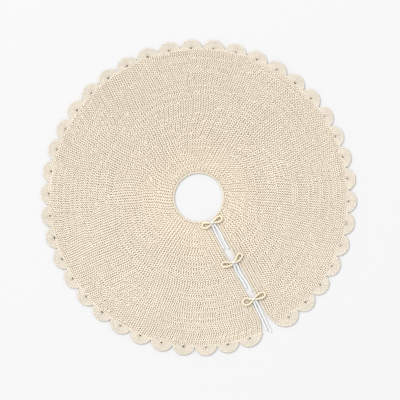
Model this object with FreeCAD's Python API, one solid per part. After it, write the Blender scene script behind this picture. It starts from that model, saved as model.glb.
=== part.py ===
import FreeCAD, Part
import math
import os

# A round hand-knitted tree skirt with a scalloped rim, laid flat on the floor. A slit runs from the
# trunk hole to the rim and is held shut by three cord bows. The cloth folds in half across the hole.
#
# Sizes are in millimetres. The origin is the centre of the trunk hole at floor level, +Z is up, and
# the slit runs along -Y. Left and right are as seen from above with the slit at the bottom.

Vector = FreeCAD.Vector

# Cloth
TRUNK_HOLE_RADIUS = 93.0
CLOTH_RADIUS = 573.0
CLOTH_THICKNESS = 8.0
EDGE_BAND_WIDTH = 9.0
FOLD_CLEARANCE = 0.4

# Scallops: equal steps round the rim, with the step at the slit left out
RIM_STEPS = 42
SCALLOP_DEPTH = 36.0
SCALLOP_CLEARANCE = 0.6
SCALLOP_EDGE_ROUNDING = 2.5

# Slit: parallel for most of its length, then flaring to its mouth at the rim
SLIT_GAP = 26.0
MOUTH_WIDTH = 66.0
MOUTH_FLARE_LENGTH = 70.0

# Bows
CORD_DIAMETER = 7.0
NECK_BOW_SETBACK = 17.0
MIDDLE_BOW_DISTANCE = 284.0
RIM_BOW_SETBACK = 128.0
KNOT_WIDTH = 14.0
KNOT_LENGTH = 13.0
KNOT_BOTTOM = 4.0
KNOT_ABOVE_CLOTH = 9.0
KNOT_ROUNDING = 3.5
SEWN_END_LIFT = 0.5
LOOP_CLEARANCE = 0.6
LOOP_TO_KNOT = 1.8
TAIL_TO_KNOT = 1.5
CORD_SPACING = 1.0
TAIL_START_LIFT = 5.9

# Each loop's route between its two ends at the knot: millimetres from the knot's middle, from above
LOOP_ROUTES = {
    "neck_bow": {
        "left": [(-14.0, 5.5), (-21.0, 11.5), (-30.5, 14.3), (-39.0, 11.5), (-42.0, 3.5),
                 (-37.0, -4.5), (-27.0, -8.0), (-17.0, -6.5)],
        "right": [(14.5, 5.0), (23.0, 9.5), (33.0, 10.5), (41.0, 6.0), (42.0, -2.5),
                  (35.5, -9.0), (25.5, -10.0), (16.0, -6.5)],
    },
    "middle_bow": {
        "left": [(-14.5, 5.5), (-22.0, 13.5), (-32.0, 19.5), (-41.5, 18.5), (-46.5, 11.0),
                 (-42.5, 2.5), (-32.0, -2.5), (-20.0, -5.0)],
        "right": [(14.0, 6.0), (19.0, 13.0), (26.5, 19.5), (35.5, 20.5), (42.0, 14.5),
                  (41.5, 6.0), (33.0, 0.0), (21.0, -3.5)],
    },
    "rim_bow": {
        "left": [(-13.5, 6.0), (-18.0, 13.5), (-26.0, 18.8), (-35.5, 17.8), (-42.5, 10.5),
                 (-42.8, 1.0), (-36.0, -7.0), (-26.0, -9.8), (-16.5, -7.0)],
        "right": [(16.5, 5.5), (27.0, 9.0), (38.0, 9.0), (46.5, 4.5), (49.0, -3.5),
                  (43.0, -10.5), (32.5, -12.0), (20.0, -8.5)],
    },
}

# Each tail's route after its start at the knot: place across the slit, where 1 is against the slit's
# right edge and -1 against its left, millimetres from the knot's middle along Y, and the height of the
# cord's underside over the floor
TAIL_ROUTES = {
    "neck_bow": {
        "left": [(-0.56, -20.0, 2.9), (-0.76, -36.0, 0.4), (-0.93, -56.0, 0.1), (-0.86, -76.0, 0.2),
                 (-0.95, -95.0, 0.1), (-0.86, -112.0, 0.2)],
        "right": [(0.61, -20.0, 2.9), (0.90, -37.0, 0.4), (0.94, -58.0, 0.1), (0.72, -79.0, 0.2),
                  (0.59, -99.0, 0.1), (0.88, -118.0, 0.2)],
    },
    "middle_bow": {
        "left": [(-0.61, -20.0, 2.9), (-0.92, -35.0, 0.4), (-0.93, -53.0, 0.1), (-0.59, -71.0, 0.2),
                 (-0.38, -91.0, 0.1), (-0.59, -112.0, 0.2)],
        "right": [(0.57, -20.0, 2.9), (0.48, -35.0, 0.4), (0.34, -53.0, 0.1), (0.59, -72.0, 0.2),
                  (0.90, -92.0, 0.1), (0.86, -112.0, 0.2), (0.95, -131.0, 0.1)],
    },
    "rim_bow": {
        "left": [(-0.59, -21.0, 2.9), (-0.84, -38.0, 0.4), (-0.93, -60.0, 0.1), (-0.99, -84.0, 0.2),
                 (-1.26, -108.0, 0.1), (-1.30, -132.0, 0.2)],
        "right": [(0.55, -21.0, 2.9), (0.46, -39.0, 0.4), (0.25, -63.0, 0.1), (0.13, -89.0, 0.2),
                  (-0.13, -116.0, 0.1), (-0.17, -144.0, 0.2)],
    },
}

# Worked out from the sizes above
PITCH = 2 * math.pi / RIM_STEPS
SLIT_ANGLE = -math.pi / 2
HALF_GAP = SLIT_GAP / 2
BAND_INNER_RADIUS = TRUNK_HOLE_RADIUS + EDGE_BAND_WIDTH
CORD_RADIUS = CORD_DIAMETER / 2
LOOP_HEIGHT = CLOTH_THICKNESS + LOOP_CLEARANCE + CORD_RADIUS
KNOT_TOP = CLOTH_THICKNESS + KNOT_ABOVE_CLOTH
END_OFFSET = CORD_RADIUS + CORD_SPACING / 2
TAIL_ROOM = HALF_GAP - CORD_RADIUS
BOW_DISTANCES = {
    "neck_bow": TRUNK_HOLE_RADIUS + NECK_BOW_SETBACK,
    "middle_bow": MIDDLE_BOW_DISTANCE,
    "rim_bow": CLOTH_RADIUS - RIM_BOW_SETBACK,
}
CUTTER_SIZE = 4 * CLOTH_RADIUS

PARTS_FOLDER = "parts"


def polar(radius, angle):
    """Point on the floor plane at this distance and angle from the centre of the trunk hole."""
    return Vector(radius * math.cos(angle), radius * math.sin(angle), 0)


def save(name, shape):
    """Checks one sub-part and writes its STEP file."""
    if not shape.isValid():
        raise ValueError(name + " is not a valid shape")
    shape.exportStep(os.path.join(PARTS_FOLDER, name + ".step"))
    print(f"{name}: {len(shape.Solids)} solid(s), {shape.Volume / 1000:.2f} cm3")


def ring(inner_radius, outer_radius):
    """Flat ring of cloth, as thick as the skirt."""
    outer = Part.makeCylinder(outer_radius, CLOTH_THICKNESS)
    return outer.cut(Part.makeCylinder(inner_radius, CLOTH_THICKNESS))


def half_space(x_side, y_side):
    """Big block on one side of the fold and, where x_side isn't 0, on one side of the slit."""
    low_x = {-1: -CUTTER_SIZE, 0: -CUTTER_SIZE, 1: 0}[x_side]
    high_x = {-1: 0, 0: CUTTER_SIZE, 1: CUTTER_SIZE}[x_side]
    near_y = y_side * FOLD_CLEARANCE / 2
    far_y = y_side * CUTTER_SIZE
    corner = Vector(low_x, min(near_y, far_y), -CUTTER_SIZE)
    return Part.makeBox(high_x - low_x, abs(far_y - near_y), 2 * CUTTER_SIZE, corner)


def slit_block(margin):
    """The slit's whole opening, widened on both sides by margin, from the hole past the rim."""
    half_mouth = MOUTH_WIDTH / 2
    flare = half_mouth - HALF_GAP
    flare_radius = (MOUTH_FLARE_LENGTH ** 2 + flare ** 2) / (2 * flare)
    mouth_y = -math.sqrt(CLOTH_RADIUS ** 2 - half_mouth ** 2)
    flare_y = mouth_y + MOUTH_FLARE_LENGTH
    centre = Vector(HALF_GAP + flare_radius, flare_y, 0)
    radius = flare_radius - margin
    sweep = 1.3 * math.asin(MOUTH_FLARE_LENGTH / flare_radius)
    middle = centre + Vector(-radius * math.cos(sweep / 2), -radius * math.sin(sweep / 2), 0)
    end = centre + Vector(-radius * math.cos(sweep), -radius * math.sin(sweep), 0)
    start = Vector(HALF_GAP + margin, flare_y, 0)
    top = Vector(HALF_GAP + margin, 0, 0)

    def mirrored(point):
        return Vector(-point.x, point.y, 0)

    edges = [
        Part.LineSegment(top, start),
        Part.Arc(start, middle, end),
        Part.LineSegment(end, mirrored(end)),
        Part.Arc(mirrored(end), mirrored(middle), mirrored(start)),
        Part.LineSegment(mirrored(start), mirrored(top)),
        Part.LineSegment(mirrored(top), top),
    ]
    outline = Part.Wire([edge.toShape() for edge in edges])
    return Part.Face(outline).extrude(Vector(0, 0, CLOTH_THICKNESS))


def make_cloth():
    """The knitted cloth in three pieces that meet at the fold and at the slit."""
    cloth = ring(BAND_INNER_RADIUS, CLOTH_RADIUS)
    save("knit_back", cloth.common(half_space(0, 1)))
    front = cloth.cut(slit_block(EDGE_BAND_WIDTH))
    save("knit_front_left", front.common(half_space(-1, -1)))
    save("knit_front_right", front.common(half_space(1, -1)))


def make_edge_bands():
    """The bound-off edge: round the back of the hole, and round each front quarter and down the slit."""
    neck = ring(TRUNK_HOLE_RADIUS, BAND_INNER_RADIUS)
    save("edge_band_back", neck.common(half_space(0, 1)))
    slit_edges = ring(TRUNK_HOLE_RADIUS, CLOTH_RADIUS).common(slit_block(EDGE_BAND_WIDTH))
    front = neck.fuse(slit_edges).removeSplitter().cut(slit_block(0))
    save("edge_band_left", front.common(half_space(-1, -1)))
    save("edge_band_right", front.common(half_space(1, -1)))


def quarter_curve(flank, tip, axis):
    """Arc from a flank of a scallop to its tip, level with the rim at the tip."""
    across = (flank - tip) - axis * (flank - tip).dot(axis)
    rise = (tip - flank).dot(axis)
    radius = (across.Length ** 2 + rise ** 2) / (2 * rise)
    centre = tip - axis * radius
    half_way = (flank - centre).normalize() + axis
    middle = centre + half_way.normalize() * radius
    return Part.Arc(flank, middle, tip)


def scallop(angle, before, after):
    """One crocheted shell on the rim, reaching this far round the rim before and after its middle."""
    axis = polar(1, angle)
    low = polar(CLOTH_RADIUS, angle - before)
    high = polar(CLOTH_RADIUS, angle + after)
    tip = polar(CLOTH_RADIUS + SCALLOP_DEPTH, angle)
    falling = quarter_curve(high, tip, axis)
    edges = [
        quarter_curve(low, tip, axis),
        Part.Arc(tip, falling.value((falling.FirstParameter + falling.LastParameter) / 2), high),
        Part.Arc(high, polar(CLOTH_RADIUS, angle + (after - before) / 2), low),
    ]
    outline = Part.Wire([edge.toShape() for edge in edges])
    shell = Part.Face(outline).extrude(Vector(0, 0, CLOTH_THICKNESS))
    outer_edges = []
    for edge in shell.Edges:
        box = edge.BoundBox
        middle = edge.valueAt((edge.FirstParameter + edge.LastParameter) / 2)
        on_the_rim = math.hypot(middle.x, middle.y) < CLOTH_RADIUS + SCALLOP_CLEARANCE
        if box.ZLength < CLOTH_THICKNESS / 2 and not on_the_rim:
            outer_edges.append(edge)
    return shell.makeFillet(SCALLOP_EDGE_ROUNDING, outer_edges)


def make_scallops():
    """The ring of scallops, counted anticlockwise from the right of the slit. The two beside the slit
    reach on to its mouth."""
    half_step = PITCH / 2 - SCALLOP_CLEARANCE / 2 / CLOTH_RADIUS
    mouth_angle = math.asin(MOUTH_WIDTH / 2 / CLOTH_RADIUS)
    for step in range(1, RIM_STEPS):
        before = PITCH - mouth_angle if step == 1 else half_step
        after = PITCH - mouth_angle if step == RIM_STEPS - 1 else half_step
        save(f"scallop_{step:02d}", scallop(SLIT_ANGLE + step * PITCH, before, after))


def cord_tube(name, points):
    """Round tube along straight runs joined by tangent arcs, each as large as its runs allow."""
    edges = []
    radii = []
    start = points[0]
    for before, corner, after in zip(points, points[1:], points[2:]):
        back = before - corner
        ahead = after - corner
        setback = 0.45 * min(back.Length, ahead.Length)
        half_turn = (math.pi - back.getAngle(ahead)) / 2
        radius = setback / math.tan(half_turn)
        back.normalize()
        ahead.normalize()
        inward = (back + ahead).normalize()
        arc_middle = corner + inward * (radius / math.cos(half_turn) - radius)
        arc_start = corner + back * setback
        arc_end = corner + ahead * setback
        edges.append(Part.LineSegment(start, arc_start))
        edges.append(Part.Arc(arc_start, arc_middle, arc_end))
        radii.append(radius)
        start = arc_end
    edges.append(Part.LineSegment(start, points[-1]))
    path = Part.Wire([edge.toShape() for edge in edges])
    section = Part.Wire(Part.makeCircle(CORD_RADIUS, points[0], points[1] - points[0]))
    tube = path.makePipeShell([section], True, False)
    expected = math.pi * CORD_RADIUS ** 2 * path.Length
    print(f"{name}: {path.Length:.1f} mm long, radii {min(radii):.1f} to {max(radii):.1f} mm,"
          f" volume {tube.Volume / expected:.4f} of section times length")
    return tube


def make_knot(middle_y):
    """The bow's knot, over the two cord ends that are sewn to the slit's edges and meet inside it."""
    corner = Vector(-KNOT_WIDTH / 2, middle_y - KNOT_LENGTH / 2, KNOT_BOTTOM)
    block = Part.makeBox(KNOT_WIDTH, KNOT_LENGTH, KNOT_TOP - KNOT_BOTTOM, corner)
    lump = block.makeFillet(KNOT_ROUNDING, block.Edges)
    ends_start = Vector(-HALF_GAP, middle_y, CORD_RADIUS + SEWN_END_LIFT)
    sewn_ends = Part.makeCylinder(CORD_RADIUS, SLIT_GAP, ends_start, Vector(1, 0, 0))
    return lump.fuse(sewn_ends)


def make_loop(name, side, route, middle_y):
    """One loop of a bow, lying on the cloth, with both its ends at the side of the knot."""
    end_x = side * (KNOT_WIDTH / 2 + LOOP_TO_KNOT)
    flat = [(end_x, END_OFFSET), *route, (end_x, -END_OFFSET)]
    return cord_tube(name, [Vector(x, middle_y + y, LOOP_HEIGHT) for x, y in flat])


def make_tail(name, side, route, middle_y):
    """One tail of a bow, from the front of the knot down on to the floor inside the slit."""
    start_y = middle_y - KNOT_LENGTH / 2 - TAIL_TO_KNOT
    points = [Vector(side * END_OFFSET, start_y, TAIL_START_LIFT + CORD_RADIUS)]
    points += [Vector(x * TAIL_ROOM, middle_y + y, z + CORD_RADIUS) for x, y, z in route]
    return cord_tube(name, points)


def make_bow(name, distance):
    """One bow across the slit: knot, two loops and two tails."""
    sides = {"left": -1, "right": 1}
    save(name + "_knot", make_knot(-distance))
    for side, sign in sides.items():
        loop_name = f"{name}_loop_{side}"
        save(loop_name, make_loop(loop_name, sign, LOOP_ROUTES[name][side], -distance))
    tails = [
        make_tail(f"{name} {side} tail", sign, TAIL_ROUTES[name][side], -distance)
        for side, sign in sides.items()
    ]
    save(name + "_tails", Part.makeCompound(tails))


os.makedirs(PARTS_FOLDER, exist_ok=True)
make_cloth()
make_edge_bands()
make_scallops()
for bow_name, bow_distance in BOW_DISTANCES.items():
    make_bow(bow_name, bow_distance)
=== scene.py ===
# %% [markdown]
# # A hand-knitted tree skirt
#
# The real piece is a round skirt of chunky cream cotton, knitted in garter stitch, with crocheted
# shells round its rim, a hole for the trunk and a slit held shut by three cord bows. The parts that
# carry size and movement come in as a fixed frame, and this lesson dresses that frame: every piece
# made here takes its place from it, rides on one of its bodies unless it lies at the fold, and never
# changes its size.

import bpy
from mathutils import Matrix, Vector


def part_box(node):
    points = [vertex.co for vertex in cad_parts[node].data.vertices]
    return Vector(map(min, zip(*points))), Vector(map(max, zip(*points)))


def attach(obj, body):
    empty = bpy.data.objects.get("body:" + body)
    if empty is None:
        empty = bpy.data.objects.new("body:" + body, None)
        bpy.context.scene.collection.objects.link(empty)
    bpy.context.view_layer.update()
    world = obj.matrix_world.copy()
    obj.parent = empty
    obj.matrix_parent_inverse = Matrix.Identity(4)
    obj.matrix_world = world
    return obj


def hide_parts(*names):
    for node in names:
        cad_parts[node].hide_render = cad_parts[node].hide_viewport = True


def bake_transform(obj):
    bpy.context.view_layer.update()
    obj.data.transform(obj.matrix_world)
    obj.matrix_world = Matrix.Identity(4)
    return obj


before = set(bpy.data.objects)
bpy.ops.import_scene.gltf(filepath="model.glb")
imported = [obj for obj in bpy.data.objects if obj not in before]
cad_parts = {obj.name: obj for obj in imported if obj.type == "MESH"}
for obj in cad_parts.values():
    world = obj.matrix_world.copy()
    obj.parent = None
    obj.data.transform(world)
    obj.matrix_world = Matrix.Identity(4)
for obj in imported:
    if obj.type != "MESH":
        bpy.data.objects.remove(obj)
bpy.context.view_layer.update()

import math

import bmesh
import bpy
import numpy as np
from mathutils import Vector

# %% [markdown]
# ## Sizes
#
# Sizes could be typed in again, but then the looks and the frame could drift apart. What the frame's
# boxes tell is read from them; only the slit's curve and the widths of the edges are written out, in
# metres. The slit runs along -Y, and the cloth folds in half along the X axis.

# %% Read the sizes of the cloth
MM = 0.001
cloth_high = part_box("knit_back")[1]
RIM_RADIUS = cloth_high.x
CLOTH_TOP = cloth_high.z
BAND_WIDTH = 9 * MM
NECK_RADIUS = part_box("edge_band_back")[1].x
HOLE_RADIUS = NECK_RADIUS - BAND_WIDTH
SCALLOP_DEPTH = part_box("scallop_21")[1].y - RIM_RADIUS
SCALLOP_STEPS = 42
FOLD_REACH = 20 * MM
print(f"rim {RIM_RADIUS:.3f}, hole {HOLE_RADIUS:.3f}, cloth top {CLOTH_TOP:.3f}, "
      f"scallop {SCALLOP_DEPTH:.3f}")

# %% The slit's half width
HALF_GAP = 13 * MM
HALF_MOUTH = 33 * MM
FLARE_LENGTH = 70 * MM
flare = HALF_MOUTH - HALF_GAP
FLARE_RADIUS = (FLARE_LENGTH ** 2 + flare ** 2) / (2 * flare)
FLARE_START = math.sqrt(RIM_RADIUS ** 2 - HALF_MOUTH ** 2) - FLARE_LENGTH


def slit_half_width(distance, margin=0.0):
    """Half of the slit's width this far from the hole's centre, widened by margin on each side."""
    past = max(0.0, distance - FLARE_START)
    radius = FLARE_RADIUS - margin
    return HALF_GAP + FLARE_RADIUS - math.sqrt(radius ** 2 - min(past, 0.9 * radius) ** 2)


def slit_angle(radius, margin=0.0):
    """Angle between the slit's middle line and its edge, on a circle of this radius."""
    across = slit_half_width(radius, margin)
    for _ in range(4):
        across = slit_half_width(math.sqrt(radius ** 2 - across ** 2), margin)
    return math.asin(across / radius)


print(f"slit edge at the neck {math.degrees(slit_angle(HOLE_RADIUS)):.1f} degrees, "
      f"at the rim {math.degrees(slit_angle(RIM_RADIUS)):.1f}")

# %% [markdown]
# ## Camera
#
# The skirt is shown flat, from straight above, turned so that the slit points to the lower right. A
# long lens from far away keeps the rim a true circle. It is made first.

# %% Make the camera
VIEW_WIDTH = 1.546
VIEW_TURN = math.radians(-28.5)
LENS = 85.0

camera_data = bpy.data.cameras.new("overhead_camera")
camera_data.lens = LENS
camera = bpy.data.objects.new("overhead_camera", camera_data)
camera.location = (0.0002, -0.0108, VIEW_WIDTH / 2 / (camera_data.sensor_width / 2 / LENS))
camera.rotation_euler = (0, 0, VIEW_TURN)
bpy.context.collection.objects.link(camera)
bpy.context.scene.camera = camera
print(f"camera {camera.location.z:.2f} m above the floor")

# %% [markdown]
# ## Node trees as sums
#
# Finishes and Geometry Nodes are both node trees, and wiring them by hand is long-winded. A small
# class wraps one socket, so that `1 - groove * 0.3` adds the Math nodes for it, and one method adds
# any other node: its settings first, then the values or links of its sockets.

# %% A strand of a node tree
class Strand:
    """One socket of a node tree, with arithmetic that adds the nodes."""

    def __init__(self, tree, socket=None):
        self.tree = tree
        self.socket = socket

    def node(self, kind, settings=None, sockets=None, out=0):
        """Adds a node with these settings and sockets, and returns one of its outputs."""
        made = self.tree.nodes.new(kind)
        for name, value in (settings or {}).items():
            setattr(made, name, value)
        for name, value in (sockets or {}).items():
            if isinstance(value, Strand):
                self.tree.links.new(value.socket, made.inputs[name])
            else:
                made.inputs[name].default_value = value
        return Strand(self.tree, made.outputs[out])

    def math(self, operation, *values):
        return self.node("ShaderNodeMath", {"operation": operation}, dict(enumerate(values)))

    def __add__(self, other):
        return self.math("ADD", self, other)

    __radd__ = __add__

    def __sub__(self, other):
        return self.math("SUBTRACT", self, other)

    def __rsub__(self, other):
        return self.math("SUBTRACT", other, self)

    def __mul__(self, other):
        return self.math("MULTIPLY", self, other)

    __rmul__ = __mul__

    def __truediv__(self, other):
        return self.math("DIVIDE", self, other)

    def split(self):
        """The X, Y and Z of a vector, as three strands."""
        made = self.node("ShaderNodeSeparateXYZ", None, {0: self})
        return [Strand(self.tree, output) for output in made.socket.node.outputs]

    def stored(self, name, value, kind="FLOAT", domain="POINT"):
        """This geometry with a value stored in it under a name."""
        return self.node("GeometryNodeStoreNamedAttribute", {"data_type": kind, "domain": domain},
                         {"Geometry": self, "Name": name, "Value": value})

    def named(self, name, kind="FLOAT"):
        """A value that a geometry carries under a name."""
        return self.node("GeometryNodeInputNamedAttribute", {"data_type": kind}, {"Name": name})

    def painted(self, name, out="Fac"):
        """The same value as a finish reads it."""
        return self.node("ShaderNodeAttribute", {"attribute_name": name}, out=out)


def between(value, low, high, new_low=0.0, new_high=1.0):
    """The value taken from one range to another and held there."""
    return value.node("ShaderNodeMapRange", {"clamp": True}, {
        "Value": value, "From Min": low, "From Max": high, "To Min": new_low, "To Max": new_high})


def tinted(factor, first, second):
    """Two colours mixed by a value."""
    return factor.node("ShaderNodeMix", {"data_type": "RGBA"},
                       {0: factor, 6: first, 7: second}, out=2)


def brightened(colour, factor):
    """A colour times a value."""
    grey = factor.node("ShaderNodeCombineXYZ", None, {"X": factor, "Y": factor, "Z": factor})
    return factor.node("ShaderNodeVectorMath", {"operation": "MULTIPLY"}, {0: colour, 1: grey})


print("strands ready")

# %% [markdown]
# ## Yarn
#
# The yarn is soft three-ply cotton: matt, a little fuzzy and cream. Lower down on each strand its
# colour is painted browner, as painted shade between the stitches and under the cords. An image of
# knitting would repeat and blur, so the finish is worked out from the shape instead. Every strand
# carries two attributes made with its tube, `around` and `along`, and the plies are stripes that wind
# with them, painted a little darker in their grooves as shade. Each stitch also has its own random
# tone; on the cords that value is the lift of the V stitches instead, which paints shade into their
# grooves. The colour goes by a third, `flat`: where each point lies while the skirt is flat, so that
# it stays put when the skirt is folded.

# %% Mix the yarn finishes
NECK_TINT = (0.80, 0.63, 0.43, 1)
# Painted shade: the near-black colour of the small hole at the base of each shell.
PAINTED_HOLE_SHADE = (0.10, 0.07, 0.045, 1)


def matt_cotton(name):
    """A matt finish with its strand, the place of each point, and its fine and wide unevenness."""
    finish = bpy.data.materials.new(name)
    finish.use_nodes = True
    surface = finish.node_tree.nodes["Principled BSDF"]
    surface.inputs["Diffuse Roughness"].default_value = 0.2
    surface.inputs["Specular IOR Level"].default_value = 0.18
    surface.inputs["Sheen Weight"].default_value = 0.05
    surface.inputs["Sheen Roughness"].default_value = 0.45
    strand = Strand(finish.node_tree)
    place = strand.painted("flat", out="Vector")
    fibre = strand.node("ShaderNodeTexNoise", None,
                        {"Vector": place, "Scale": 620.0, "Detail": 3.0, "Roughness": 0.6})
    patch = strand.node("ShaderNodeTexNoise", None, {"Vector": place, "Scale": 5.0, "Detail": 2.0})
    finish.node_tree.links.new((0.78 + fibre * 0.2).socket, surface.inputs["Roughness"])
    return finish, strand, place, fibre, patch


def dye_and_shade(finish, colour, relief, strength, depth):
    """Gives a finish its colour, painted shade included, and raises its surface by a relief this deep.
    """
    tree = finish.node_tree
    surface = tree.nodes["Principled BSDF"]
    raised = relief.node("ShaderNodeBump", None, {
        "Strength": strength, "Distance": depth, "Height": relief}, out="Normal")
    tree.links.new(colour.socket, surface.inputs["Base Color"])
    tree.links.new(raised.socket, surface.inputs["Normal"])


def yarn_finish(name, crest, hollow_shade, low, high, ply_pitch, neck_warmth=0.0):
    """Matt plied yarn: its own colour at the crests, and painted shade towards the hollows between low
    and high.
    """
    finish, strand, place, fibre, patch = matt_cotton(name)
    height = place.split()[2]
    cosine, sine, _ = strand.painted("around", out="Vector").split()
    ply = strand.math("SINE", strand.math("ARCTAN2", sine, cosine) * 3
                      + strand.painted("along") * (2 * math.pi / ply_pitch))
    distance = place.node("ShaderNodeVectorMath", {"operation": "LENGTH"}, {0: place}, out="Value")
    # Painted shade: below the height high the colour darkens towards the hollow shade colour.
    colour = tinted(between(height, low, high), hollow_shade, crest)
    colour = tinted(between(distance, 0.10, 0.45, neck_warmth, 0.0), colour, NECK_TINT)
    # Painted shade: the points marked as a shell's hole are coloured near black.
    colour = tinted(strand.painted("hole"), colour, PAINTED_HOLE_SHADE)
    # The ply stripes and the cords' lift paint shade into grooves; fibre, patches and each stitch's
    # random tone vary the yarn itself.
    shade = 0.90 + strand.painted("tone_and_groove_shade") * 0.08 + fibre * 0.08 + patch * 0.06 + ply * 0.03
    dye_and_shade(finish, brightened(colour, shade), ply * 0.5 + fibre * 0.8, 0.55, 0.6 * MM)
    return finish


# The second colour of each yarn is the painted shade of its hollows, between its low and high heights.
CLOTH_YARN = yarn_finish("cloth_yarn", (0.97, 0.895, 0.775, 1), (0.62, 0.525, 0.385, 1),
                         3.5 * MM, 6.1 * MM, 5.5 * MM, neck_warmth=0.12)
EDGE_YARN = yarn_finish("edge_yarn", (0.91, 0.845, 0.73, 1), (0.66, 0.59, 0.475, 1),
                        3.0 * MM, 7.6 * MM, 5.0 * MM)
SHELL_YARN = yarn_finish("shell_yarn", (0.93, 0.87, 0.775, 1), (0.62, 0.55, 0.44, 1),
                         3.0 * MM, 5.4 * MM, 4.0 * MM)
LOOP_YARN = yarn_finish("loop_yarn", (0.94, 0.825, 0.63, 1), (0.49, 0.38, 0.23, 1),
                        10.8 * MM, 15.0 * MM, 6.0 * MM)
KNOT_YARN = yarn_finish("knot_yarn", (0.84, 0.82, 0.77, 1), (0.60, 0.58, 0.53, 1),
                        6.0 * MM, 14.0 * MM, 6.0 * MM)
TAIL_YARN = yarn_finish("tail_yarn", (0.85, 0.85, 0.84, 1), (0.54, 0.55, 0.57, 1),
                        1.8 * MM, 5.6 * MM, 6.0 * MM)
print("yarns:", [finish.name for finish in (
    CLOTH_YARN, EDGE_YARN, SHELL_YARN, LOOP_YARN, KNOT_YARN, TAIL_YARN)])

# %% [markdown]
# ## Turning a tree's result into a piece
#
# A Geometry Nodes modifier keeps working for as long as it is on an object. The frame wants plain
# meshes, so each tree is run once on a stand-in that is then thrown away. What it made becomes a
# piece's own mesh.

# %% Run a tree once and keep its mesh
def tree_inputs(tree, inputs):
    """Adds named inputs to a tree, each with its kind and usual value, and returns them as strands."""
    for name, (kind, usual) in inputs.items():
        made = tree.interface.new_socket(name, in_out="INPUT", socket_type="NodeSocket" + kind)
        if usual is not None:
            made.default_value = usual
    tree.interface.new_socket("Result", in_out="OUTPUT", socket_type="NodeSocketGeometry")
    entry = tree.nodes.new("NodeGroupInput")
    return {name: Strand(tree, entry.outputs[name]) for name in inputs}


def run_tree(tree, name, mesh, values):
    """Runs a tree on a mesh with these named values and returns the plain mesh that it makes."""
    stand_in = bpy.data.objects.new("stand_in", mesh)
    bpy.context.collection.objects.link(stand_in)
    modifier = stand_in.modifiers.new("tree", "NODES")
    modifier.node_group = tree
    for item in tree.interface.items_tree:
        if item.item_type == "SOCKET" and item.in_out == "INPUT" and item.name in values:
            modifier[item.identifier] = values[item.name]
    depsgraph = bpy.context.evaluated_depsgraph_get()
    made = bpy.data.meshes.new_from_object(
        stand_in.evaluated_get(depsgraph), preserve_all_data_layers=True, depsgraph=depsgraph)
    made.name = name
    stand_in.modifiers.remove(modifier)
    bpy.data.objects.remove(stand_in)
    return made


def triangles(mesh):
    """How many triangles a mesh comes to."""
    return len(mesh.loops) - 2 * len(mesh.polygons)


print("trees can be run")

# %% [markdown]
# ## Cord
#
# Each bow is tied from a soft cord, knitted as a narrow tube: four columns of V stitches round a core.
# A bevelled curve would be smooth, so the cord is a mesh tube along its line, lifted where a stitch
# stands up. Its line is one NURBS spline through the points of the route, which bends as a limp cord
# does and has no corners.

# %% Parts that both trees use
def round_section(strand, sides, radius):
    """The round section of a yarn, which remembers where each side lies around it."""
    section = strand.node("GeometryNodeCurvePrimitiveCircle", None,
                          {"Resolution": sides, "Radius": radius})
    return section.stored("around", strand.node("GeometryNodeInputPosition"), "FLOAT_VECTOR")


def finished(made, yarn):
    """Makes instances real, gives them their yarn and leads them out of the tree."""
    made = made.node("GeometryNodeRealizeInstances", None, {"Geometry": made})
    made = made.node("GeometryNodeSetMaterial", None, {"Geometry": made, "Material": yarn})
    leave = made.tree.nodes.new("NodeGroupOutput")
    made.tree.links.new(made.socket, leave.inputs["Result"])
    return made.tree


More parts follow.
